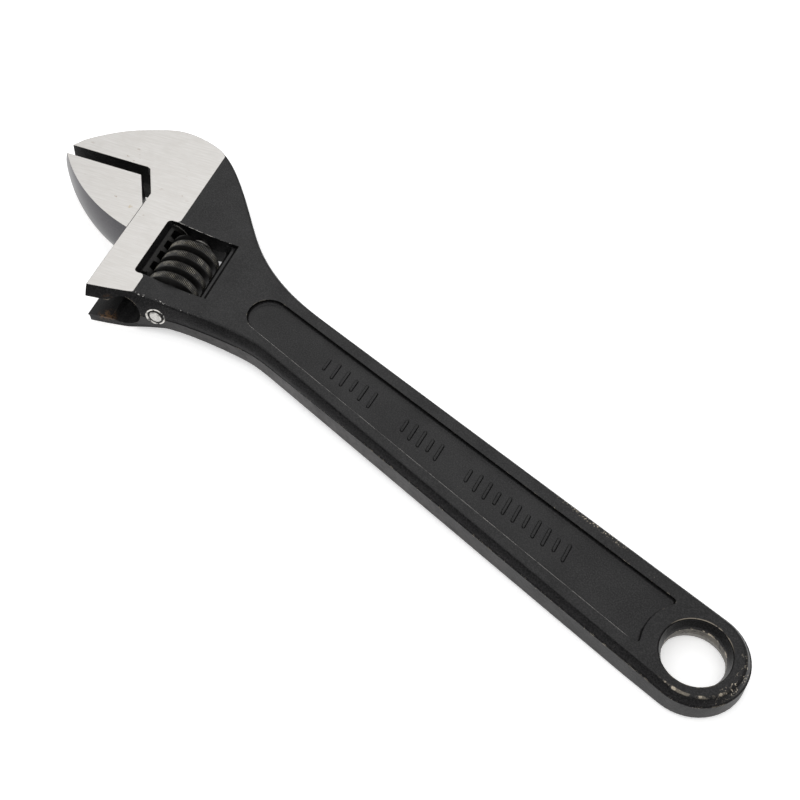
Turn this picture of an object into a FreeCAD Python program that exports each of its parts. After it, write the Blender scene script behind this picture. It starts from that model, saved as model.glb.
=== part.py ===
import FreeCAD, Part
import math
import os

from FreeCAD import Vector

# Adjustable wrench, 375 mm long.  Millimetres.
# Origin: centre of the hang hole, on the mid-plane.  +X runs to the jaws, +Z is the hole's axis.
# The head is turned by HEAD_ANGLE.  Head places are (u, v): u along the slide, + as the jaw opens;
# v across it, + to the jaw tips; both measured from the middle of the worm.

# --- Driving dimensions --------------------------------------------------------------------------
HEAD_ANGLE = 22.5
WORM_X, WORM_Y = 269.8, 4.1
GROUND_Z = 10.25            # half the thickness of the ground head

# Handle
END_X, END_Y, END_R = -0.6, -0.4, 19.4      # rounded end, at the mid-plane
HANDLE_TAPER = 0.0161       # each side closes in towards the head
NECK_X = 204.0              # the handle's straight sides end here
FACE_Z = 6.5                # half thickness of the handle
CROWN_START_V = -22.0       # the faces start to rise here
GROUND_EDGE_V = 10.0        # and are ground flat from here on
CROWN_END_V = 22.0
BLANK_Z = 14.0              # the forging's sides are drafted up to here
DRAFT_LOW, DRAFT_HIGH = 0.2, 0.75           # inset of the head's sides, at the mid-plane and there
HANDLE_DRAFT = (0.5, 2.05)  # inset of the handle's sides, at its under and its upper face
DRAFT_END_Z = 7.8           # and no deeper past here
NOSE_DEPTH = (0.4, 3.0)     # inset of the head's end with the bore, at the same two
EDGE_R = 1.4                # rounding of the forged edges
BAND_LOW = [(-60, -2.8), (15, -5.9), (400, -5.9)]   # belt-ground band round the sides, as (x, z)
BAND_TOP = [(-60, 3.0), (150, 2.6), (240, -0.6), (400, -1.4)]

# Hang hole
HOLE_R, HOLE_LAND = 11.7, 3.0
HOLE_RIM_R, HOLE_ROUND = 13.0, 0.8

# Panel in each face of the handle
PANEL_END_X, PANEL_END_R = 221.0, 9.0
PANEL_TAPER = 0.0145
PANEL_ARC_R = 19.7          # its other end follows the hole
PANEL_CORNER_R = 1.6
PANEL_DEPTH, PANEL_FLOOR_R = 1.8, 1.25

# Jaws, at rest
FIXED_FACE_U = -42.3
TIP_V = 78.2
GUIDE_V = 30.2
THROAT = [(-42.3, 39.5), (-41.6, 37.8), (-27.8, 30.2)]
JAW_FACE_U = -36.7
JAW_TIP_V = 77.7
JAW_FOOT_V = 30.32          # clear of the guide
JAW_BACK = [(-36.7, 39.8), (-20.2, 30.32)]
JAW_ARC_R, JAW_ARC_END_U = 90.0, -5.4
JAW_BULGE = 1.5

# Rail, web and rack of the moving jaw
RAIL_V, RAIL_R, BORE_R = 14.3, 7.73, 7.8
RAIL_U0, RAIL_U1 = -40.0, 12.7
WEB_U0, WEB_T, SLOT_T = -36.0, 10.2, 10.4
BORE_END_U = -46.5
CLEAR_U = 45.0              # past the open end of the bore
RACK_FLAT_V, RACK_ROOT_V = 7.6, 11.75
RACK_GAP_ROOT, RACK_GAP_TIP = 2.0, 2.75

# Worm, its pin and spring
WINDOW_U, WINDOW_R = 16.35, 1.8
WINDOW_V0, WINDOW_MID_V = -16.6, -12.15     # its back wall, at the face and at the mid-plane
WINDOW_SLOPE = [(-16.4, 4.6), (-18.3, 6.6)]  # a slope from the back wall out to the face, as (v, z)
WINDOW_V1, WINDOW_LEAN = 15.2, 0.7        # its front wall leans back over the rail
PITCH = 6.55
THREAD_AT_U = 1.85          # a crest of the thread faces the rack here
WORM_R, WORM_ROOT_R = 11.3, 7.1
WORM_U0, WORM_U1 = -10.8, 16.0
THREAD_TIP, THREAD_FOOT = 1.7, 2.35
PIN_R, WORM_BORE_R = 2.8, 2.85
PIN_U0, PIN_U1 = -27.0, 28.9
PIN_SINK = 1.1              # countersink round the pin's end
SPRING_BORE_R, SPRING_BORE_D = 5.6, 5.6
SPRING_R, SPRING_WIRE_R, SPRING_TURNS = 4.5, 0.55, 5.0
SPRING_GAP = 0.05

TURN = math.radians(HEAD_ANGLE)
SLIDE = Vector(-math.sin(TURN), math.cos(TURN), 0)
ACROSS = Vector(math.cos(TURN), math.sin(TURN), 0)
UP = Vector(0, 0, 1)
WORM_AT = Vector(WORM_X, WORM_Y, 0)
FAR = 400.0


def head(u, v, z=0.0):
    """A head place as a point of the wrench."""
    return WORM_AT + SLIDE * u + ACROSS * v + UP * z


def line(a, b):
    return Part.LineSegment(a, b).toShape()


def arc(a, b, c):
    return Part.Arc(a, b, c).toShape()


def head_prism(corners, half):
    """A straight prism over (u, v) corners, half above and half below the mid-plane."""
    points = [head(u, v, -half) for u, v in corners]
    return Part.Face(Part.makePolygon(points + points[:1])).extrude(UP * 2 * half)


def head_box(u0, u1, v0, v1, half):
    return head_prism([(u0, v0), (u1, v0), (u1, v1), (u0, v1)], half)


def rod(u0, u1, v, radius):
    """A cylinder along the slide."""
    return Part.makeCylinder(radius, u1 - u0, head(u0, v), SLIDE)


# --- Forged body ---------------------------------------------------------------------------------
def smooth(points, start=None, end=None):
    curve = Part.BSplineCurve()
    if start and end:
        curve.interpolate(Points=points, InitialTangent=start, FinalTangent=end)
    else:
        curve.interpolate(Points=points)
    return curve


def inset_curve(curve, insets):
    """The curve with each of its points moved to its left, which is inwards."""
    moved = []
    for t, inset in zip(curve.getKnots(), insets):
        along = curve.tangent(t)[0]
        moved.append(curve.value(t) + Vector(-along.y, along.x, 0) * inset)
    ends = [curve.tangent(t)[0] for t in (curve.FirstParameter, curve.LastParameter)]
    return smooth(moved, *ends)


def blank_outline(handle, head_side, nose=0.0):
    """The forging's outline, with the mouth still solid, inset by three amounts: the handle's sides,
    the head's sides, and the head's end with the bore."""
    taper = math.atan(HANDLE_TAPER)
    middle = Vector(END_X, END_Y, 0)
    turn = Vector(math.sin(taper), math.cos(taper), 0) * END_R
    drop = HANDLE_TAPER * (NECK_X - END_X - turn.x)
    neck_low, neck_high = END_Y - turn.y + drop, END_Y + turn.y - drop
    back = smooth([
        Vector(NECK_X, neck_low, 0), Vector(226.7, -17.8, 0), Vector(248.9, -23.7, 0),
        Vector(266.8, -32.9, 0), Vector(287.7, -44.8, 0), Vector(302.7, -50.4, 0),
        Vector(318.6, -50.2, 0), Vector(329.8, -46.5, 0), Vector(339.7, -38.2, 0),
        Vector(349.0, -27.5, 0), head(-48.2, 74.6), head(FIXED_FACE_U + 1.0, TIP_V + 0.8),
    ], Vector(1, HANDLE_TAPER, 0), head(1, 0.6) - head(0, 0))
    near = smooth([
        head(33.9, GUIDE_V + 0.5), head(33.0, 24.0), head(31.9, 17.0), head(30.5, 9.5), head(29.2, 2.5),
        head(28.3, -3.0), Vector(244.9, 24.2, 0), Vector(233.4, 20.5, 0), Vector(221.8, 17.5, 0),
        Vector(NECK_X, neck_high, 0),
    ], head(-0.3, -2) - head(0, 0), Vector(-1, HANDLE_TAPER, 0))
    half = (handle + head_side) / 2
    back = inset_curve(back, [handle, handle, half] + [head_side] * (back.NbKnots - 3))
    fading = [1.0, 1.0, 1.0, 1.0, 1.0, 0.8, 0.3, 0.1, 0.0, 0.0]
    sides = [head_side] * 6 + [half] + [handle] * 3
    near = inset_curve(near, [side + nose * share for side, share in zip(sides, fading)])
    turn = turn * ((END_R - handle) / END_R)
    high_end, low_end = middle + turn, middle + Vector(turn.x, -turn.y, 0)
    far_end = middle - Vector(END_R - handle, 0, 0)
    back_0, back_1 = (back.value(t) for t in (back.FirstParameter, back.LastParameter))
    near_0, near_1 = (near.value(t) for t in (near.FirstParameter, near.LastParameter))
    return Part.Wire([
        line(low_end, back_0), back.toShape(), line(back_1, near_0), near.toShape(),
        line(near_1, high_end), arc(high_end, far_end, low_end),
    ])


def face_z(v):
    """Height of the forged face: flat along the handle, then a round crown up to the head."""
    rise = max(0.0, v - CROWN_START_V) / (GROUND_EDGE_V - CROWN_START_V)
    return FACE_Z + (GROUND_Z - FACE_Z) * rise ** 2


def face_slab():
    """Everything between the two forged faces."""
    middle = 0.5 * (CROWN_START_V + CROWN_END_V)
    low, start, mid, end = (head(-FAR, v, face_z(v)) for v in (-FAR, CROWN_START_V, middle, CROWN_END_V))
    high = end + ACROSS * 100
    top = [line(low, start), arc(start, mid, end), line(end, high)]
    bottom = [edge.mirror(Vector(), UP) for edge in top]
    ends = [line(p, Vector(p.x, p.y, -p.z)) for p in (low, high)]
    wire = Part.Wire(Part.__sortEdges__(top + bottom + ends))
    return Part.Face(wire).extrude(SLIDE * 2 * FAR)


def rim_edges(shape):
    """The edges where a forged side meets a forged face."""
    def is_side(face):
        return abs(face.normalAt(*face.Surface.parameter(face.CenterOfMass)).z) < 0.5

    rims = []
    for edge in shape.Edges:
        kinds = [is_side(face) for face in shape.ancestorsOfType(edge, Part.Face)]
        if kinds.count(True) == 1 and kinds.count(False) == 1:
            rims.append(edge)
    return rims


def band():
    """Proud of the drafts, and lower at the neck than at the handle's end."""
    outline = Part.Face(blank_outline(0.0, 0.0)).extrude(UP * 2 * BLANK_Z).translated(UP * -BLANK_Z)
    profile = [Vector(x, -FAR, z) for x, z in BAND_LOW + BAND_TOP[::-1]]
    return outline.common(Part.Face(Part.makePolygon(profile + profile[:1])).extrude(Vector(0, 2 * FAR, 0)))


def forging():
    wires = []
    for level in (-BLANK_Z, -10.3, -7.8, -4.5, 0.0, 4.5, 7.8, 10.3, BLANK_Z):
        side = DRAFT_LOW + (DRAFT_HIGH - DRAFT_LOW) * abs(level) / BLANK_Z
        depth = min(abs(level), DRAFT_END_Z) / FACE_Z
        handle = DRAFT_LOW + (HANDLE_DRAFT[level > 0] - DRAFT_LOW) * depth ** 2
        nose = NOSE_DEPTH[level > 0] * (level / GROUND_Z) ** 2
        wires.append(blank_outline(handle, side, nose).translated(UP * level))
    blank = Part.makeLoft(wires, True, False)
    blank = blank.common(face_slab())
    blank = blank.makeFillet(EDGE_R, rim_edges(blank))
    return blank.fuse(band())


def mouth():
    """The space between the jaws, as far down as the guide that the moving jaw slides on."""
    top_v, low_u = 120.0, 80.0
    corners = [(FIXED_FACE_U, top_v)] + THROAT + [(low_u, GUIDE_V), (low_u, top_v)]
    return head_prism(corners, FAR)


def window():
    """Straight at its two ends; its front and back walls lean inwards to the mid-plane."""
    back_lean = (WINDOW_MID_V - WINDOW_V0) / FACE_Z
    back_v = WINDOW_MID_V - back_lean * BLANK_Z
    front_v = WINDOW_V1 + WINDOW_LEAN * (BLANK_Z - GROUND_Z)
    front_mid_v = WINDOW_V1 - WINDOW_LEAN * GROUND_Z
    corners = [(back_v, -BLANK_Z), (WINDOW_MID_V, 0), (back_v, BLANK_Z),
               (front_v, BLANK_Z), (front_mid_v, 0), (front_v, -BLANK_Z)]
    points = [head(-WINDOW_U, v, z) for v, z in corners]
    block = Part.Face(Part.makePolygon(points + points[:1])).extrude(SLIDE * 2 * WINDOW_U)
    upright = [edge for edge in block.Edges
               if edge.BoundBox.ZLength > 1 and edge.BoundBox.ZMin * edge.BoundBox.ZMax >= -1e-6]
    return block.makeFillet(WINDOW_R, upright)


def window_slope():
    """Opens the window's back wall out to each face."""
    (low_v, low_z), (high_v, high_z) = WINDOW_SLOPE
    reach_v = high_v - (BLANK_Z - high_z) * (low_v - high_v) / (high_z - low_z)
    corners = [(low_v, low_z), (reach_v, BLANK_Z), (0, BLANK_Z), (0, low_z)]
    points = [head(-WINDOW_U, v, z) for v, z in corners]
    block = Part.Face(Part.makePolygon(points + points[:1])).extrude(SLIDE * 2 * WINDOW_U)
    return block.fuse(block.mirror(Vector(), UP))


def rail_way():
    """The bore that the rail slides in, with a slot out to the guide for the web."""
    bore = rod(BORE_END_U, CLEAR_U, RAIL_V, BORE_R)
    return bore.fuse(head_box(FIXED_FACE_U, CLEAR_U, RAIL_V, CLEAR_U, SLOT_T / 2))


def pin_hole():
    """Blind in the head, countersunk in the end face where the pin goes in."""
    hole = rod(PIN_U0, CLEAR_U, 0, PIN_R)
    sink = Part.makeCone(PIN_R, PIN_R + 2 * PIN_SINK, 2 * PIN_SINK, head(PIN_U1 - PIN_SINK, 0), SLIDE)
    return hole.fuse(sink)


def hang_hole():
    """A short straight land, drafted out to a rounded rim at each face."""
    land, turn = HOLE_LAND / 2, HOLE_ROUND * (1 - math.sqrt(0.5))
    start = Vector(HOLE_RIM_R, 0, FACE_Z - HOLE_ROUND)
    middle = Vector(HOLE_RIM_R + turn, 0, FACE_Z - turn)
    end = Vector(HOLE_RIM_R + HOLE_ROUND, 0, FACE_Z)
    outer = end + UP
    axis = Vector(0, 0, outer.z)
    waist = Vector(HOLE_R, 0, land)
    upper = [line(waist, start), arc(start, middle, end), line(end, outer), line(outer, axis)]
    lower = [edge.mirror(Vector(), UP) for edge in upper]
    links = [line(axis, axis * -1), line(waist, Vector(HOLE_R, 0, -land))]
    wire = Part.Wire(Part.__sortEdges__(upper + lower + links))
    return Part.Face(wire).revolve(Vector(), UP, 360)


def panel_outline():
    """Round towards the head; concave round the hang hole at the other end."""
    taper = math.atan(PANEL_TAPER)
    head_high = Vector(PANEL_END_X + PANEL_END_R * math.sin(taper), PANEL_END_R * math.cos(taper), 0)
    head_low = Vector(head_high.x, -head_high.y, 0)
    half = head_high.y + PANEL_TAPER * (head_high.x - PANEL_ARC_R)
    corner_high = Vector(math.sqrt(PANEL_ARC_R ** 2 - half ** 2), half, 0)
    corner_low = Vector(corner_high.x, -half, 0)
    return Part.Wire([
        line(corner_low, head_low), arc(head_low, Vector(PANEL_END_X + PANEL_END_R, 0, 0), head_high),
        line(head_high, corner_high), arc(corner_high, Vector(PANEL_ARC_R, 0, 0), corner_low),
    ])


def panel(side):
    """The recess in one face; side is 1 for the top and -1 for the bottom."""
    block = Part.Face(panel_outline()).extrude(UP * BLANK_Z)
    upright = [edge for edge in block.Edges if edge.BoundBox.ZLength > 1]
    corners = [edge for edge in upright if edge.CenterOfMass.x < PANEL_ARC_R]
    block = block.makeFillet(PANEL_CORNER_R, corners)
    floor = [edge for edge in block.Edges if edge.BoundBox.ZMax < 0.01]
    block = block.makeFillet(PANEL_FLOOR_R, floor)
    block.translate(UP * (FACE_Z - PANEL_DEPTH))
    return block if side > 0 else block.mirror(Vector(), UP)


def body():
    shape = forging()
    ground = Part.makeBox(2 * FAR, 2 * FAR, 2 * GROUND_Z, Vector(-FAR, -FAR, -GROUND_Z))
    shape = shape.common(ground)
    cutters = [mouth(), window(), window_slope(), rail_way(), pin_hole(), hang_hole(), panel(1), panel(-1)]
    for cutter in cutters:
        shape = shape.cut(cutter)
    return shape.removeSplitter()


# --- Moving jaw ----------------------------------------------------------------------------------
def jaw_centre():
    """Middle of the jaw's outer curve, which runs from the tip to the outer end of the foot."""
    du, dv = JAW_ARC_END_U - JAW_FACE_U, JAW_FOOT_V - JAW_TIP_V
    chord = math.hypot(du, dv)
    depth = math.sqrt(JAW_ARC_R ** 2 - chord ** 2 / 4)
    return head(JAW_FACE_U + du / 2 + depth * dv / chord, JAW_TIP_V + dv / 2 - depth * du / chord)


def jaw_block():
    """The jaw: a barrel-sided outer curve, cut straight for its face, back and foot."""
    low, high = Vector(JAW_ARC_R, 0, -GROUND_Z), Vector(JAW_ARC_R, 0, GROUND_Z)
    inner_low, inner_high = (Vector(JAW_ARC_R / 3, 0, p.z) for p in (low, high))
    barrel = [line(inner_low, low), arc(low, Vector(JAW_ARC_R + JAW_BULGE, 0, 0), high),
              line(high, inner_high), line(inner_high, inner_low)]
    ring = Part.Face(Part.Wire(barrel)).revolve(Vector(), UP, 360).translated(jaw_centre())
    reach = 110.0
    corners = JAW_BACK + [(reach, JAW_FOOT_V), (reach, reach), (JAW_FACE_U, reach)]
    return ring.common(head_prism(corners, BLANK_Z))


def rack_gap(u):
    """One space between teeth, tilted to the worm's lead so that its thread passes through."""
    outer_v = RAIL_V - RAIL_R - 1
    flare = (RACK_GAP_TIP - RACK_GAP_ROOT) / (RACK_ROOT_V - RACK_FLAT_V)
    outer = RACK_GAP_ROOT + flare * (RACK_ROOT_V - outer_v)
    gap = head_prism([(u - outer, outer_v), (u - RACK_GAP_ROOT, RACK_ROOT_V),
                      (u + RACK_GAP_ROOT, RACK_ROOT_V), (u + outer, outer_v)], RAIL_R + 2)
    mean_r = (WORM_R + WORM_ROOT_R) / 2
    gap.rotate(head(u, 0), ACROSS, math.degrees(math.atan(PITCH / (2 * math.pi * mean_r))))
    return gap


def rack_rail():
    rail = rod(RAIL_U0, RAIL_U1, RAIL_V, RAIL_R)
    rail = rail.cut(head_box(RAIL_U0 - 1, RAIL_U1 + 1, RAIL_V - RAIL_R - 1, RACK_FLAT_V, RAIL_R))
    first = math.ceil((RAIL_U0 - THREAD_AT_U) / PITCH)
    last = math.ceil((RAIL_U1 - THREAD_AT_U) / PITCH)
    for turn in range(first, last + 1):
        rail = rail.cut(rack_gap(THREAD_AT_U + turn * PITCH))
    return rail


def web():
    """Joins the rail to the jaw through the slot."""
    inside = 0.8
    top_v = GUIDE_V - 0.3
    foot_u = JAW_BACK[1][0]
    return head_prism([
        (WEB_U0, RAIL_V), (WEB_U0, top_v),
        (foot_u + inside, top_v), (foot_u + inside, JAW_FOOT_V + inside),
        (JAW_ARC_END_U - inside, JAW_FOOT_V + inside), (JAW_ARC_END_U - inside, top_v),
        (RAIL_U1 - 4.0, top_v), (RAIL_U1, top_v - 4.0), (RAIL_U1, RAIL_V),
    ], WEB_T / 2)


def movable_jaw():
    return jaw_block().fuse([web(), rack_rail()]).removeSplitter()


# --- Worm, pin and spring ------------------------------------------------------------------------
def on_slide(shape):
    """From standing on the origin along +Z to lying along the slide, its +X towards the rack."""
    axes = FreeCAD.Matrix(ACROSS.x, 0, SLIDE.x, WORM_X, ACROSS.y, 0, SLIDE.y, WORM_Y, 0, -1, 0, 0)
    shape.Placement = FreeCAD.Placement(axes).multiply(shape.Placement)
    return shape


def thread():
    """The right-handed thread, longer than the worm at both ends, with a crest over +X at THREAD_AT_U."""
    turns = math.ceil((THREAD_AT_U - WORM_U0) / PITCH) + 1
    start = THREAD_AT_U - turns * PITCH
    path = Part.makeHelix(PITCH, WORM_U1 - start + PITCH, WORM_ROOT_R)
    sunk = 0.6
    inner = WORM_ROOT_R - sunk
    foot = THREAD_FOOT + sunk * (THREAD_FOOT - THREAD_TIP) / (WORM_R - WORM_ROOT_R)
    corners = [Vector(inner, 0, -foot), Vector(WORM_R, 0, -THREAD_TIP), Vector(WORM_R, 0, THREAD_TIP),
               Vector(inner, 0, foot)]
    profile = Part.makePolygon(corners + corners[:1])
    return Part.Wire(path).makePipeShell([profile], True, True).translated(UP * start)


def worm():
    length, spare = WORM_U1 - WORM_U0, 2 * PITCH
    core = Part.makeCylinder(WORM_ROOT_R, length + 2 * spare, UP * (WORM_U0 - spare))
    span = Part.makeCylinder(2 * WORM_R, length, UP * WORM_U0)
    shape = core.fuse(thread()).common(span)
    shape = shape.cut(Part.makeCylinder(WORM_BORE_R, length + 2, UP * (WORM_U0 - 1)))
    shape = shape.cut(Part.makeCylinder(SPRING_BORE_R, SPRING_BORE_D + 1, UP * (WORM_U0 - 1)))
    return on_slide(shape)


def worm_pin():
    pin = rod(PIN_U0, PIN_U1, 0, PIN_R)
    ends = [edge for edge in pin.Edges if edge.Closed]
    return pin.makeChamfer(0.4, ends)


def spring():
    """A compression spring from the window's wall to the floor of the worm's counterbore."""
    start = -WINDOW_U + SPRING_WIRE_R + SPRING_GAP
    end = WORM_U0 + SPRING_BORE_D - SPRING_WIRE_R - SPRING_GAP
    path = Part.makeHelix((end - start) / SPRING_TURNS, end - start, SPRING_R)
    circle = Part.makeCircle(SPRING_WIRE_R, Vector(SPRING_R, 0, 0), Vector(0, 1, 0))
    coil = Part.Wire(path).makePipeShell([Part.Wire(circle)], True, True)
    return on_slide(coil.translated(UP * start))


PIECES = {"body": body, "movable_jaw": movable_jaw, "worm": worm, "worm_pin": worm_pin, "spring": spring}
os.makedirs("parts", exist_ok=True)
for name, make in PIECES.items():
    piece = make()
    piece.exportStep("parts/" + name + ".step")
    print(name, piece.isValid(), len(piece.Solids), round(piece.Volume / 1000, 2), "cm3")
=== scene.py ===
import math

import bmesh
import bpy
from mathutils import Matrix, Vector


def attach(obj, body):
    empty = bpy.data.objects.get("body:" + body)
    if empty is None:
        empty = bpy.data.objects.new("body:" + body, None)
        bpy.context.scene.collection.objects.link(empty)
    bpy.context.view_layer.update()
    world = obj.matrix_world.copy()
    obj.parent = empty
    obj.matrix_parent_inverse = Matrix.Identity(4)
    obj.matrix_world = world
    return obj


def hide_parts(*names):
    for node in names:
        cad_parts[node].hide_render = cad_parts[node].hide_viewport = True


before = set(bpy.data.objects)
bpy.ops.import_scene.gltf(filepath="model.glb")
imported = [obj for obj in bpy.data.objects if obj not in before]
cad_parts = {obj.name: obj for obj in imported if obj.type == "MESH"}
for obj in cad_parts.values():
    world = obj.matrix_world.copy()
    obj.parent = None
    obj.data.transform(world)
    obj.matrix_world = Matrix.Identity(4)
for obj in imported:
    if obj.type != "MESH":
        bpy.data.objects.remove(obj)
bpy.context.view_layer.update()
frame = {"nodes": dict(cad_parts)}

# --- Places on the wrench, in metres ---------------------------------------------------------------
MM = 0.001
HEAD_ANGLE = math.radians(22.5)
SLIDE = Vector((-math.sin(HEAD_ANGLE), math.cos(HEAD_ANGLE), 0))
ACROSS = Vector((math.cos(HEAD_ANGLE), math.sin(HEAD_ANGLE), 0))
WORM_AT = Vector((269.8, 4.1, 0)) * MM
GROUND_Z = 10.25 * MM
FACE_Z = 6.5 * MM
PANEL_DEPTH = 1.8 * MM
BODY_GROUND_V, JAW_GROUND_V = 10.0, 30.1    # the head is ground flat from here on, in millimetres

# The worm, in millimetres
PITCH, THREAD_AT_U = 6.55, 1.85
WORM_R, WORM_ROOT_R, WORM_BORE_R = 11.3, 7.1, 2.85
WORM_U0, WORM_U1 = -10.8, 16.0
SPRING_BORE_R, SPRING_BORE_END_U = 5.6, -5.2
KNURLS_PER_TURN, KNURL_STEPS, KNURL_DEPTH = 98, 6, 0.30

# The corners beside its window that stay black, in millimetres
TAB_U, TAB_V, TAB_WIDTH, TAB_R = 18.35, 12.0, 2.2, 2.0

# The ribs in the handle's panels, in millimetres
RIB_GROUPS = [(186.0, 6, 5.2), (142.0, 5, 4.6), (108.0, 11, 4.9)]   # first x, how many, spacing
RIB_LENGTHS = [6.2, 8.2, 8.2]       # in turn
RIB_WIDTH, RIB_HEIGHT, RIB_LEAN = 1.5, 0.45, -0.28


def head(u, v, z=0.0):
    """A point of the head: u along the jaw's slide, v towards the jaw tips, in millimetres from the worm."""
    return WORM_AT + (SLIDE * u + ACROSS * v + Vector((0, 0, z))) * MM


# --- Camera ----------------------------------------------------------------------------------------
CAMERA_AT = Vector((-73.865, 233.282, 441.663)) * MM
CAMERA_ANGLES = -0.81790, 0.92319, -0.01926     # azimuth and elevation of its aim, and its roll
CAMERA_LENS, CAMERA_SENSOR = 61.61, 36.0


def add_camera():
    azimuth, elevation, roll = CAMERA_ANGLES
    aim = Vector((math.cos(azimuth) * math.cos(elevation), math.sin(azimuth) * math.cos(elevation),
                  -math.sin(elevation)))
    level = Vector((math.sin(azimuth), -math.cos(azimuth), 0))
    down = aim.cross(level)
    right = level * math.cos(roll) + down * math.sin(roll)
    down = down * math.cos(roll) - level * math.sin(roll)
    data = bpy.data.cameras.new("camera")
    data.sensor_width = CAMERA_SENSOR
    data.lens = CAMERA_LENS
    camera = bpy.data.objects.new("camera", data)
    bpy.context.scene.collection.objects.link(camera)
    turn = Matrix((right, -down, -aim)).transposed().to_4x4()
    camera.matrix_world = Matrix.Translation(CAMERA_AT) @ turn
    bpy.context.scene.camera = camera


# --- Floor and light -------------------------------------------------------------------------------
SKY_HORIZON, SKY_TOP, SKY_POWER = 0.25, 0.64, 1.5
FLOOR_REACH = 3.0
FLOOR_LOW_X = -18 * MM
FLOOR_GLOW = 0.42


def area_light(name, place, target, size, power):
    data = bpy.data.lights.new(name, "AREA")
    data.shape = "RECTANGLE"
    data.size, data.size_y = size
    data.energy = power
    light = bpy.data.objects.new(name, data)
    bpy.context.scene.collection.objects.link(light)
    place, target = Vector(place), Vector(target)
    turn = (target - place).to_track_quat("-Z", "Y").to_matrix().to_4x4()
    light.matrix_world = Matrix.Translation(place) @ turn


def add_sky():
    """White overhead and dim at the horizon, as under a large soft box."""
    world = bpy.data.worlds.new("studio")
    bpy.context.scene.world = world
    world.use_nodes = True
    nodes, links = world.node_tree.nodes, world.node_tree.links
    coords = nodes.new("ShaderNodeTexCoord")
    split = nodes.new("ShaderNodeSeparateXYZ")
    links.new(coords.outputs["Generated"], split.inputs[0])
    climb = nodes.new("ShaderNodeMath")
    climb.operation = "POWER"
    climb.use_clamp = True
    links.new(split.outputs["Z"], climb.inputs[0])
    climb.inputs[1].default_value = SKY_POWER
    level = nodes.new("ShaderNodeMath")
    level.operation = "MULTIPLY_ADD"
    links.new(climb.outputs[0], level.inputs[0])
    level.inputs[1].default_value = SKY_TOP - SKY_HORIZON
    level.inputs[2].default_value = SKY_HORIZON
    links.new(level.outputs[0], nodes["Background"].inputs["Strength"])
    nodes["Background"].inputs["Color"].default_value = (1, 1, 1, 1)


def add_floor():
    """A pale floor that the worm and the handle's end both touch."""
    mesh = bpy.data.meshes.new("floor")
    slope = (WORM_R * MM - FACE_Z) / (WORM_AT.x - FLOOR_LOW_X)
    corners = []
    for side_x, side_y in ((-1, -1), (1, -1), (1, 1), (-1, 1)):
        x, y = side_x * FLOOR_REACH, side_y * FLOOR_REACH
        corners.append((x, y, -FACE_Z - slope * (x - FLOOR_LOW_X)))
    mesh.from_pydata(corners, [], [(0, 1, 2, 3)])
    floor = bpy.data.objects.new("floor", mesh)
    bpy.context.scene.collection.objects.link(floor)
    mat, _, _, shader = new_material("floor_white")
    shader.inputs["Base Color"].default_value = (0.93, 0.93, 0.93, 1)
    shader.inputs["Roughness"].default_value = 0.9
    shader.inputs["Specular IOR Level"].default_value = 0.0
    shader.inputs["Emission Color"].default_value = (1, 1, 1, 1)
    shader.inputs["Emission Strength"].default_value = FLOOR_GLOW
    mesh.materials.append(mat)


# --- Materials -------------------------------------------------------------------------------------
def new_material(name):
    mat = bpy.data.materials.new(name)
    mat.use_nodes = True
    nodes, links = mat.node_tree.nodes, mat.node_tree.links
    return mat, nodes, links, nodes["Principled BSDF"]


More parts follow.
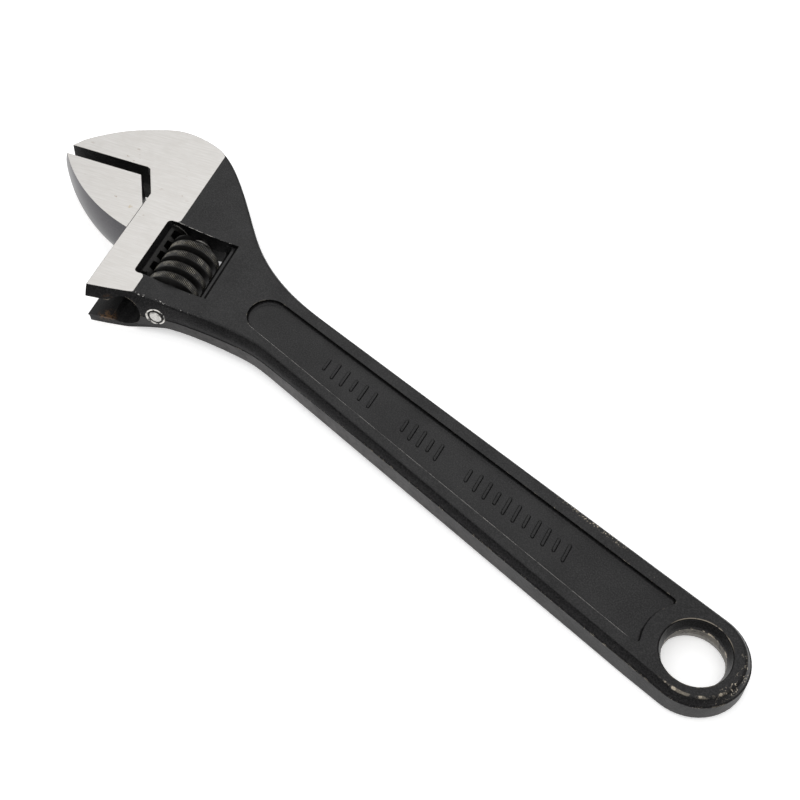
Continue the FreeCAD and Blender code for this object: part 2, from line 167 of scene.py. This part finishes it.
class Graph:
    """Short names for the node calls that the materials repeat."""

    def __init__(self, name):
        self.mat, self.nodes, self.links, self.shader = new_material(name)
        coords = self.nodes.new("ShaderNodeTexCoord")
        self.place = coords.outputs["Object"]

    def set(self, socket, value):
        if isinstance(value, bpy.types.NodeSocket):
            self.links.new(value, socket)
        else:
            socket.default_value = value

    def math(self, operation, a, b=0.0):
        node = self.nodes.new("ShaderNodeMath")
        node.operation = operation
        for socket, value in zip(node.inputs, (a, b)):
            self.set(socket, value)
        return node.outputs[0]

    def noise(self, scale, detail=2.0, roughness=0.5, stretch=None):
        node = self.nodes.new("ShaderNodeTexNoise")
        node.inputs["Scale"].default_value = scale
        node.inputs["Detail"].default_value = detail
        node.inputs["Roughness"].default_value = roughness
        place = self.place
        if stretch:
            place = self.stretched(stretch)
        self.links.new(place, node.inputs["Vector"])
        return node.outputs["Fac"]

    def stretched(self, stretch):
        """Coordinates turned to the head and scaled along (v, u, z)."""
        node = self.nodes.new("ShaderNodeMapping")
        node.vector_type = "TEXTURE"
        node.inputs["Rotation"].default_value = (0, 0, HEAD_ANGLE)
        self.links.new(self.place, node.inputs["Vector"])
        scale = self.nodes.new("ShaderNodeVectorMath")
        scale.operation = "MULTIPLY"
        self.links.new(node.outputs["Vector"], scale.inputs[0])
        scale.inputs[1].default_value = stretch
        return scale.outputs["Vector"]

    def ramp(self, value, low, high):
        """0 below low and 1 above high (or the other way round if low is above high)."""
        node = self.nodes.new("ShaderNodeMapRange")
        node.interpolation_type = "SMOOTHSTEP"
        self.set(node.inputs["Value"], value)
        flip = low > high
        node.inputs["From Min"].default_value = min(low, high)
        node.inputs["From Max"].default_value = max(low, high)
        node.inputs["To Min"].default_value = 1.0 if flip else 0.0
        node.inputs["To Max"].default_value = 0.0 if flip else 1.0
        return node.outputs["Result"]

    def mix(self, factor, a, b):
        node = self.nodes.new("ShaderNodeMix")
        node.data_type = "RGBA"
        self.set(node.inputs["Factor"], factor)
        for socket, value in ((node.inputs["A"], a), (node.inputs["B"], b)):
            if isinstance(value, tuple):
                value = value + (1.0,) * (4 - len(value))
            self.set(socket, value)
        return node.outputs["Result"]

    def blend(self, factor, a, b):
        """A plain number between a and b."""
        node = self.nodes.new("ShaderNodeMix")
        node.data_type = "FLOAT"
        self.set(node.inputs["Factor"], factor)
        self.set(node.inputs["A"], a)
        self.set(node.inputs["B"], b)
        return node.outputs["Result"]

    def axes(self):
        node = self.nodes.new("ShaderNodeSeparateXYZ")
        self.links.new(self.place, node.inputs[0])
        return node.outputs["X"], node.outputs["Y"], node.outputs["Z"]

    def along(self, direction, origin):
        """Distance along a direction from a point, in millimetres."""
        offset = self.nodes.new("ShaderNodeVectorMath")
        offset.operation = "SUBTRACT"
        self.links.new(self.place, offset.inputs[0])
        offset.inputs[1].default_value = tuple(origin)
        dot = self.nodes.new("ShaderNodeVectorMath")
        dot.operation = "DOT_PRODUCT"
        self.links.new(offset.outputs["Vector"], dot.inputs[0])
        dot.inputs[1].default_value = tuple(direction / MM)
        return dot.outputs["Value"]

    def edge(self, radius):
        """Grows from 0 on a flat surface to about 1 on a sharp edge."""
        bevel = self.nodes.new("ShaderNodeBevel")
        bevel.samples = 6
        bevel.inputs["Radius"].default_value = radius
        geometry = self.nodes.new("ShaderNodeNewGeometry")
        dot = self.nodes.new("ShaderNodeVectorMath")
        dot.operation = "DOT_PRODUCT"
        self.links.new(bevel.outputs["Normal"], dot.inputs[0])
        self.links.new(geometry.outputs["Normal"], dot.inputs[1])
        return self.math("SUBTRACT", 1.0, dot.outputs["Value"])

    def bump(self, height, strength, distance, normal=None):
        node = self.nodes.new("ShaderNodeBump")
        node.inputs["Strength"].default_value = strength
        node.inputs["Distance"].default_value = distance
        self.links.new(height, node.inputs["Height"])
        if normal is not None:
            self.links.new(normal, node.inputs["Normal"])
        return node.outputs["Normal"]

    def pick(self, factor, a, b):
        """A normal between two."""
        node = self.nodes.new("ShaderNodeMix")
        node.data_type = "VECTOR"
        self.set(node.inputs["Factor"], factor)
        vectors = [socket for socket in node.inputs
                   if socket.type == "VECTOR" and socket.name in ("A", "B")]
        self.links.new(a, vectors[0])
        self.links.new(b, vectors[1])
        return next(socket for socket in node.outputs if socket.type == "VECTOR")


BLACK = (0.0035, 0.0034, 0.0038)
BLACK_LIGHT = (0.020, 0.0195, 0.020)
BAND = (0.050, 0.047, 0.047)
HOLE_STEEL = (0.13, 0.118, 0.098)
GROUND = (0.63, 0.617, 0.60)
GROUND_DARK = (0.53, 0.513, 0.49)
OUTLINE = (0.05, 0.048, 0.045)
RUST = (0.20, 0.105, 0.045)
STAIN = (0.42, 0.32, 0.16)
# brownish bare steel of chips and specks, also used for a painted highlight on the hang hole's rim
BARE_STEEL_AND_HIGHLIGHT = (0.50, 0.44, 0.35)
# white of rubbed edges, also used for painted highlights
WHITE_METAL_AND_HIGHLIGHT = (0.66, 0.64, 0.61)


def ground_silver(g):
    """Belt-ground steel: nearly even, with faint lines along v, dark edges and a few rust specks."""
    brush = g.noise(1700, 3, 0.6, stretch=(0.07, 1.0, 1.0))
    cloud = g.noise(160, 3, 0.6)
    silver = g.mix(g.ramp(brush, 0.2, 0.8), GROUND_DARK, GROUND)
    silver = g.mix(g.math("MULTIPLY", g.ramp(cloud, 0.45, 0.75), 0.5), silver, GROUND_DARK)
    sparse = g.ramp(g.noise(75, 2), 0.55, 0.64)
    specks = g.math("MULTIPLY", g.ramp(g.noise(520, 2, 0.5, stretch=(0.6, 1.2, 1.0)), 0.66, 0.72), sparse)
    silver = g.mix(g.math("MULTIPLY", specks, 0.5), silver, RUST)
    silver = g.mix(g.math("MULTIPLY", g.ramp(g.edge(0.28 * MM), 0.01, 0.05), 0.85), silver, OUTLINE)
    return silver, brush


def ground_mask(g, v, height, start_v):
    return g.math("MULTIPLY", g.ramp(height, GROUND_Z - 0.06 * MM, GROUND_Z - 0.02 * MM),
                  g.ramp(v, start_v - 0.1, start_v + 0.1))


def spot(g, place, inner, outer):
    """1 within inner millimetres of a place, fading to 0 at outer."""
    node = g.nodes.new("ShaderNodeVectorMath")
    node.operation = "DISTANCE"
    g.links.new(g.place, node.inputs[0])
    node.inputs[1].default_value = tuple(place)
    return g.ramp(node.outputs["Value"], outer * MM, inner * MM)


def either(g, *masks):
    total = masks[0]
    for mask in masks[1:]:
        total = g.math("MAXIMUM", total, mask)
    return total


def both(g, *masks):
    total = masks[0]
    for mask in masks[1:]:
        total = g.math("MULTIPLY", total, mask)
    return total


def between(g, value, low, high, soft):
    """1 from low to high, fading to 0 over soft at either side."""
    return g.math("MULTIPLY", g.ramp(value, low - soft, low), g.ramp(value, high + soft, high))


def distance(g, a, b):
    return g.math("SQRT", g.math("ADD", g.math("MULTIPLY", a, a), g.math("MULTIPLY", b, b)))


def window_tab(g, u, v):
    """1 on the small corners beside the window that stay black where the ground face is rounded off."""
    across = g.math("SUBTRACT", TAB_U, g.math("ABSOLUTE", u))
    across = g.math("MINIMUM", g.math("MAXIMUM", across, 0.0), TAB_WIDTH)
    down = g.math("MAXIMUM", g.math("SUBTRACT", TAB_V, v), 0.0)
    outside = g.ramp(distance(g, across, down), TAB_R - 0.05, TAB_R + 0.1)
    return g.math("MULTIPLY", outside, g.ramp(v, TAB_V + 1.0, TAB_V + 0.9))


class BodyGraph(Graph):
    """The body's material, with the places and noises that several of its marks share."""

    def __init__(self):
        super().__init__("black_phosphate_and_ground_steel")
        self.x, y, z = self.axes()
        self.y_mm = self.math("MULTIPLY", y, 1 / MM)
        self.z_mm = self.math("MULTIPLY", z, 1 / MM)
        self.height = self.math("ABSOLUTE", z)
        self.hole_r = distance(self, self.x, y)
        self.u, self.v = self.along(SLIDE, WORM_AT), self.along(ACROSS, WORM_AT)
        geometry = self.nodes.new("ShaderNodeNewGeometry")
        tilt = self.nodes.new("ShaderNodeSeparateXYZ")
        self.links.new(geometry.outputs["Normal"], tilt.inputs[0])
        self.facing_up = self.math("ABSOLUTE", tilt.outputs["Z"])
        self.upright = self.ramp(self.facing_up, 0.45, 0.3)
        self.edges = self.ramp(self.edge(0.5 * MM), 0.03, 0.14)
        self.patch = self.ramp(self.noise(330, 4, 0.65), 0.52, 0.60)
        self.chips = self.ramp(self.noise(950, 3, 0.6), 0.56, 0.62)
        self.streak = self.ramp(self.noise(150, 4, 0.7), 0.42, 0.52)
        self.fleck = self.ramp(self.noise(1500, 3, 0.6), 0.57, 0.63)
        rim = both(self, self.ramp(self.facing_up, 0.72, 0.82), self.ramp(self.facing_up, 0.975, 0.94))
        self.rim = both(self, rim, self.ramp(self.z_mm, 4.2, 4.9))


def on_band(g):
    """The height range of the belt-ground band, whose upper edge drops towards the head."""
    top = g.blend(g.ramp(g.x, 150 * MM, 250 * MM), 2.7, -0.8)
    return g.math("MULTIPLY", g.ramp(g.z_mm, -6.9, -6.0), g.math("LESS_THAN", g.z_mm, top))


def band_and_painted_sheen(g, in_band):
    """The bare band, brighter towards its lower side with a painted reflection of the pale floor, brighter
    towards the neck, and gone at the head.
    """
    # painted reflection: the band's colour grows towards its lower side, which faces down to the pale floor
    painted_floor_sheen = g.blend(g.ramp(g.z_mm, 3.0, -2.0), 0.25, 1.0)
    return both(g, in_band, g.upright, g.ramp(g.x, 285 * MM, 225 * MM), painted_floor_sheen,
                g.blend(g.ramp(g.x, 20 * MM, 160 * MM), 0.30, 1.0))


def gold_wear_and_rim_highlight(g):
    """Chips down to brownish steel, round the handle's end and along the sharp edges, and a painted
    highlight on the hang hole's far rim.
    """
    far_face = both(g, spot(g, Vector((60, -16.5, 6.2)) * MM, 9, 20), g.ramp(g.y_mm, -14.5, -16), g.fleck)
    near_end = both(g, spot(g, Vector((-10, 16, 6)) * MM, 9, 15), g.rim, g.streak,
                    g.blend(g.patch, 0.25, 0.8))
    sparse = g.ramp(g.noise(420, 2, 0.5), 0.46, 0.56)
    end_specks = both(g, spot(g, Vector((-18, 0, 6)) * MM, 6, 15), g.ramp(g.z_mm, 3.5, 4.5), g.fleck, sparse,
                      g.ramp(g.hole_r, 15.0 * MM, 16.5 * MM))
    # painted highlight: a thin arc on the far rounded rim of the hang hole, broken up by streaks
    hole_rim_highlight = both(g, spot(g, Vector((4, -12.5, 6.2)) * MM, 9, 15), g.rim, g.streak, 0.45,
                    g.ramp(g.hole_r, 14.5 * MM, 14.0 * MM))
    hole_step = both(g, between(g, g.z_mm, 1.3, 1.9, 0.2), g.ramp(g.hole_r, 13.5 * MM, 13.3 * MM), g.patch)
    parting = both(g, g.edges, g.upright, g.ramp(g.x, 230 * MM, 180 * MM), g.chips)
    region = g.ramp(g.noise(38, 2, 0.5), 0.50, 0.62)
    return either(g, far_face, near_end, end_specks, hole_rim_highlight, hole_step, parting,
                  both(g, g.edges, region, g.patch, 0.4))


def rubbed_edges_and_highlights(g):
    """Bright lines: rubbed edges at the window, bore and pin, and painted highlights along the panel's near
    edge and the head's near rim.
    """
    # painted highlight: a thin bright line along the panels' near edges only, broken by streaks
    panel_highlight = both(g, g.edges, g.ramp(g.z_mm, 5.7, 6.3), between(g, g.y_mm, 8.6, 13.0, 0.3),
                      between(g, g.x, 0.024, 0.225, 0.004), g.blend(g.streak, 0.12, 0.40))
    # painted highlight: a thin bright line on the head's near rounded rim, broken by streaks and flecks
    head_rim_highlight = both(g, spot(g, head(29.0, -4.0, 8.0), 9, 17), g.rim, g.ramp(g.u, 22.0, 25.0), g.streak,
                    g.fleck)
    far_wall = both(g, between(g, g.u, -17.4, -16.0, 0.4), between(g, g.v, -15.0, 13.0, 1.0),
                    g.ramp(g.z_mm, 5.5, 6.5), g.edges, either(g, g.patch, g.chips))
    bore_r = distance(g, g.math("SUBTRACT", g.v, 14.3), g.z_mm)
    bore_ring = both(g, between(g, g.u, -16.6, -16.1, 0.1), g.ramp(g.z_mm, 0.5, 1.5),
                     between(g, bore_r, 7.7, 8.3, 0.3), g.streak)
    pin_ring = both(g, g.ramp(g.u, 26.0, 27.0), between(g, distance(g, g.v, g.z_mm), 3.75, 4.15, 0.2),
                    g.streak)
    ribs = both(g, g.edges, between(g, g.x, 0.045, 0.195, 0.003),
                g.ramp(g.math("ABSOLUTE", g.y_mm), 8, 6), g.streak, 0.30)
    return either(g, panel_highlight, far_wall, bore_ring, pin_ring, ribs, head_rim_highlight)


def rust_stain(g):
    """Rust inside the open end of the bore."""
    low, high = spot(g, head(32.5, 22.0, -5.2), 2.0, 5.5), spot(g, head(30.0, 20.5, 3.5), 2, 5)
    rusty = either(g, low, g.math("MULTIPLY", high, 0.5))
    return both(g, rusty, g.ramp(g.noise(420, 4, 0.65), 0.45, 0.60), 0.45)


def body_steel():
    g = BodyGraph()
    grain = g.noise(1900, 3, 0.65)
    pits = g.noise(700, 2, 0.5)
    forged = g.noise(60, 3, 0.55)
    silver, brush = ground_silver(g)
    ground = g.math("MULTIPLY", ground_mask(g, g.v, g.height, BODY_GROUND_V),
                    g.math("SUBTRACT", 1.0, window_tab(g, g.u, g.v)))
    in_band = on_band(g)
    band = band_and_painted_sheen(g, in_band)
    hole = both(g, g.ramp(g.hole_r, 13.35 * MM, 13.2 * MM), g.ramp(g.z_mm, 1.7, 1.4))
    gold, light = gold_wear_and_rim_highlight(g), rubbed_edges_and_highlights(g)

    black = g.mix(g.ramp(grain, 0.38, 0.68), BLACK, BLACK_LIGHT)
    dust = g.ramp(g.noise(1500, 1, 0.4), 0.80, 0.84)
    black = g.mix(g.math("MULTIPLY", dust, 0.25), black, BARE_STEEL_AND_HIGHLIGHT)
    # the band's own colour, with the painted floor reflection on its lower side
    black = g.mix(g.math("MULTIPLY", band, g.ramp(g.noise(300, 3), 0.1, 0.6)), black, BAND)
    black = g.mix(g.math("MULTIPLY", hole, g.ramp(pits, 0.2, 0.6)), black, HOLE_STEEL)
    # wear chips to brownish steel, with the painted highlight on the hang hole's rim
    black = g.mix(gold, black, BARE_STEEL_AND_HIGHLIGHT)
    # rubbed edges, and the painted highlights along the panel and the head's rim
    black = g.mix(light, black, WHITE_METAL_AND_HIGHLIGHT)
    black = g.mix(rust_stain(g), black, RUST)
    g.set(g.shader.inputs["Base Color"], g.mix(ground, black, silver))

    # painted shade: steep faces outside the band are made metal of the near-black colour, so they mirror far
    # less of the pale floor than flat ones and read darker
    steep_painted_shade = both(g, g.ramp(g.facing_up, 0.93, 0.75), g.math("SUBTRACT", 1.0, in_band), 0.70)
    # metallic share: bare metal of wear, highlights, band and hole, and the painted shade of steep faces
    bare = either(g, g.math("MULTIPLY", either(g, light, gold), 0.9), g.math("MULTIPLY", band, 0.5),
                  g.math("MULTIPLY", hole, 0.3), steep_painted_shade)
    g.set(g.shader.inputs["Metallic"], g.blend(ground, bare, 1.0))
    g.shader.inputs["Specular IOR Level"].default_value = 0.27
    rough_black = g.blend(g.ramp(forged, 0.3, 0.7), 0.38, 0.50)
    rough_ground = g.blend(g.ramp(brush, 0.25, 0.75), 0.42, 0.48)
    g.set(g.shader.inputs["Roughness"], g.blend(ground, rough_black, rough_ground))
    fine = g.bump(grain, 0.75, 0.06 * MM)
    fine = g.bump(pits, 0.60, 0.12 * MM, fine)
    rolled = g.bump(forged, 0.30, 0.5 * MM, fine)
    lines = g.bump(brush, 0.05, 0.02 * MM)
    g.links.new(g.pick(ground, rolled, lines), g.shader.inputs["Normal"])
    return g.mat


def jaw_steel():
    g = Graph("jaw_dark_and_ground_steel")
    _, _, z = g.axes()
    z_mm = g.math("MULTIPLY", z, 1 / MM)
    height = g.math("ABSOLUTE", z)
    v = g.along(ACROSS, WORM_AT)
    grain = g.noise(1800, 3, 0.6)
    silver, brush = ground_silver(g)
    ground = ground_mask(g, v, height, JAW_GROUND_V)
    stain = g.math("MULTIPLY", spot(g, head(-17.1, 34.8, GROUND_Z / MM), 0.4, 1.4),
                   g.ramp(g.noise(900, 2), 0.40, 0.55))
    silver = g.mix(g.math("MULTIPLY", stain, 0.6), silver, STAIN)
    dark = g.mix(g.ramp(grain, 0.35, 0.7), (0.065, 0.063, 0.068), (0.088, 0.086, 0.091))
    # painted reflection: the jaw's dark side is made lighter towards its bottom, and a little towards its
    # tips, as where it mirrors the pale floor
    lower = either(g, g.ramp(z_mm, -4.5, -8.5), g.math("MULTIPLY", g.ramp(v, 62.0, 77.0), 0.2))
    dark = g.mix(lower, dark, (0.13, 0.13, 0.135))
    outer = g.ramp(v, 29.0, 30.2)
    rail = g.mix(g.ramp(grain, 0.3, 0.7), (0.004, 0.004, 0.004), (0.014, 0.013, 0.012))
    g.set(g.shader.inputs["Base Color"], g.mix(ground, g.mix(outer, rail, dark), silver))
    g.set(g.shader.inputs["Metallic"], g.blend(ground, g.blend(outer, 0.7, 0.9), 1.0))
    g.shader.inputs["Specular IOR Level"].default_value = 0.36
    rough_ground = g.blend(g.ramp(brush, 0.25, 0.75), 0.42, 0.48)
    g.set(g.shader.inputs["Roughness"], g.blend(ground, 0.34, rough_ground))
    dull = g.bump(grain, 0.10, 0.03 * MM)
    lines = g.bump(brush, 0.05, 0.02 * MM)
    g.links.new(g.pick(ground, dull, lines), g.shader.inputs["Normal"])
    return g.mat


def worm_steel():
    """Black in the thread, worn bright and brownish on the knurled crest."""
    g = Graph("worm_black_and_worn_steel")
    v = g.along(ACROSS, WORM_AT)
    high = g.along(Vector((0, 0, 1)), WORM_AT)
    crest = g.ramp(distance(g, v, high), WORM_R - 0.10, WORM_R - 0.02)
    grain = g.noise(1600, 3, 0.6)
    worn = g.math("MULTIPLY", crest, g.blend(g.ramp(g.noise(260, 3, 0.6), 0.42, 0.64), 0.08, 0.68))
    black = g.mix(g.ramp(grain, 0.35, 0.7), (0.006, 0.006, 0.006), (0.016, 0.015, 0.014))
    gold = g.mix(g.ramp(g.noise(500, 2), 0.35, 0.65), (0.34, 0.30, 0.22), (0.60, 0.56, 0.47))
    g.set(g.shader.inputs["Base Color"], g.mix(worn, black, gold))
    g.set(g.shader.inputs["Metallic"], g.math("MULTIPLY", worn, 0.95))
    g.shader.inputs["Specular IOR Level"].default_value = 0.4
    g.set(g.shader.inputs["Roughness"], g.blend(worn, 0.42, 0.36))
    g.links.new(g.bump(grain, 0.25, 0.05 * MM), g.shader.inputs["Normal"])
    return g.mat


def plain_steel(name, low, high, metallic, roughness):
    g = Graph(name)
    grain = g.noise(1500, 3, 0.6)
    g.set(g.shader.inputs["Base Color"], g.mix(g.ramp(grain, 0.35, 0.7), low, high))
    g.shader.inputs["Metallic"].default_value = metallic
    g.set(g.shader.inputs["Roughness"], g.blend(grain, roughness - 0.08, roughness + 0.08))
    g.links.new(g.bump(grain, 0.25, 0.06 * MM), g.shader.inputs["Normal"])
    return g.mat


def dress(piece, material):
    piece.data.materials.clear()
    piece.data.materials.append(material)


# --- New pieces ------------------------------------------------------------------------------------
def smooth_faces(bm, sharp_degrees):
    """Smooth shading with a crease wherever two faces meet at more than an angle."""
    limit = math.radians(sharp_degrees)
    for face in bm.faces:
        face.smooth = True
    for edge in bm.edges:
        edge.smooth = len(edge.link_faces) == 2 and edge.calc_face_angle(math.pi) < limit


def make_piece(name, bm, material, body):
    mesh = bpy.data.meshes.new(name)
    bm.to_mesh(mesh)
    bm.free()
    mesh.materials.append(material)
    piece = bpy.data.objects.new(name, mesh)
    bpy.context.scene.collection.objects.link(piece)
    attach(piece, body)
    return piece


def on_slide(x, y, z):
    """From the worm's own axes, its +X towards the rack and +Z along the slide."""
    return WORM_AT + (ACROSS * x - Vector((0, 0, y)) + SLIDE * z) * MM


def thread_profile():
    """Half a pitch either side of the crest: (along the axis, radius, is it knurled)."""
    half = PITCH / 2
    side = [(-half, WORM_ROOT_R, 0), (-2.65, WORM_ROOT_R, 0), (-2.32, WORM_ROOT_R + 0.35, 0),
            (-2.02, 9.2, 0), (-1.80, WORM_R - 0.35, 0), (-1.66, WORM_R - 0.05, 1), (-0.7, WORM_R, 1)]
    return side + [(-s, r, k) for s, r, k in reversed(side)]


def thread_surface(bm):
    """The thread swept as one sheet, each turn joined to the next along the root."""
    steps = KNURLS_PER_TURN * KNURL_STEPS
    turns_before = math.ceil((THREAD_AT_U - WORM_U0) / PITCH) + 1
    start = THREAD_AT_U - turns_before * PITCH
    count = steps * math.ceil((WORM_U1 - start) / PITCH + 1)
    profile = thread_profile()
    rows = []
    for i in range(count + 1):
        angle = 2 * math.pi * (i % steps) / steps
        groove = (0.5 - 0.5 * math.cos(2 * math.pi * i / KNURL_STEPS)) * KNURL_DEPTH
        row = []
        for s, radius, knurled in profile[:-1]:
            r = radius - groove * knurled
            z = start + PITCH * i / steps + s
            row.append(bm.verts.new((r * math.cos(angle), r * math.sin(angle), z)))
        rows.append(row)
    for i in range(count + 1 - steps):
        rows[i].append(rows[i + steps][0])
    for i in range(count - steps):
        for j in range(len(profile) - 1):
            bm.faces.new((rows[i][j], rows[i + 1][j], rows[i + 1][j + 1], rows[i][j + 1]))


def ring(bm, radius, z, count=64):
    verts = [bm.verts.new((radius * math.cos(2 * math.pi * i / count),
                           radius * math.sin(2 * math.pi * i / count), z)) for i in range(count)]
    edges = [bm.edges.new((verts[i], verts[(i + 1) % count])) for i in range(count)]
    return verts, edges


def join_rings(bm, a, b):
    for i in range(len(a)):
        j = (i + 1) % len(a)
        bm.faces.new((a[i], a[j], b[j], b[i]))


def cut_end(bm, z, outward):
    """Cuts the sheet square at one end of the worm and returns the cut's edges."""
    everything = bm.verts[:] + bm.edges[:] + bm.faces[:]
    cut = bmesh.ops.bisect_plane(bm, geom=everything, plane_co=(0, 0, z), plane_no=(0, 0, outward),
                                 clear_outer=True, dist=1e-5)
    return [item for item in cut["geom_cut"] if isinstance(item, bmesh.types.BMEdge)]


def add_worm():
    bm = bmesh.new()
    thread_surface(bm)
    loose = [vert for vert in bm.verts if not vert.link_faces]
    bmesh.ops.delete(bm, geom=loose, context="VERTS")
    low = cut_end(bm, WORM_U0, -1)
    high = cut_end(bm, WORM_U1, 1)
    low_ring, low_edges = ring(bm, SPRING_BORE_R, WORM_U0)
    step_out, _ = ring(bm, SPRING_BORE_R, SPRING_BORE_END_U)
    step_in, _ = ring(bm, WORM_BORE_R, SPRING_BORE_END_U)
    high_ring, high_edges = ring(bm, WORM_BORE_R, WORM_U1)
    for a, b in ((low_ring, step_out), (step_out, step_in), (step_in, high_ring)):
        join_rings(bm, a, b)
    bmesh.ops.triangle_fill(bm, edges=low + low_edges, use_beauty=True)
    bmesh.ops.triangle_fill(bm, edges=high + high_edges, use_beauty=True)
    bmesh.ops.recalc_face_normals(bm, faces=bm.faces[:])
    for vert in bm.verts:
        vert.co = on_slide(*vert.co)
    smooth_faces(bm, 32)
    piece = make_piece("knurled_worm", bm, worm_steel(), "worm_screw")
    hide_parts("worm")


def raised_bar(bm, x, length, side):
    """A low bar across the panel, leaning, with round ends and sloping sides sunk into the floor."""
    floor_z = side * (FACE_Z - PANEL_DEPTH)
    end_steps = 6
    rows = []
    for inset, lift in ((-0.25, -0.2), (0.0, 0.12), (0.14, RIB_HEIGHT - 0.08), (0.32, RIB_HEIGHT)):
        r = RIB_WIDTH / 2 - inset
        row = []
        for end in (1, -1):
            for k in range(end_steps + 1):
                angle = math.pi * k / end_steps + (0 if end > 0 else math.pi)
                py = end * (length - RIB_WIDTH) / 2 + r * math.sin(angle)
                px = x + r * math.cos(angle) + RIB_LEAN * py
                row.append(bm.verts.new((px * MM, py * MM, floor_z + side * lift * MM)))
        rows.append(row)
    for low, high in zip(rows, rows[1:]):
        join_rings(bm, low, high)
    bm.faces.new(rows[-1])


def add_panel_marks(material):
    """Plain raised ribs in each panel, in three groups."""
    bm = bmesh.new()
    for side in (1, -1):
        for first, count, step in RIB_GROUPS:
            for k in range(count):
                raised_bar(bm, first - k * step, RIB_LENGTHS[k % len(RIB_LENGTHS)], side)
    bmesh.ops.recalc_face_normals(bm, faces=bm.faces[:])
    smooth_faces(bm, 60)
    make_piece("panel_ribs", bm, material, "frame")


# --- Build -----------------------------------------------------------------------------------------
bpy.context.scene.view_settings.view_transform = "Standard"
add_camera()
add_sky()
add_floor()
area_light("key", (0.65, -0.55, 1.0), (0.25, 0, 0), (1.3, 1.1), 5.4)
area_light("fill", (-0.1, 0.6, 1.1), (0.18, 0, 0), (1.6, 1.6), 9)
nodes = frame["nodes"]
black_steel = body_steel()
dress(nodes["body"], black_steel)
dress(nodes["movable_jaw"], jaw_steel())
dress(nodes["worm_pin"], plain_steel("pin_steel", (0.45, 0.44, 0.42), (0.65, 0.64, 0.62), 1.0, 0.35))
dress(nodes["spring"], plain_steel("spring_steel", (0.10, 0.10, 0.10), (0.25, 0.24, 0.22), 0.9, 0.4))
add_worm()
add_panel_marks(black_steel)
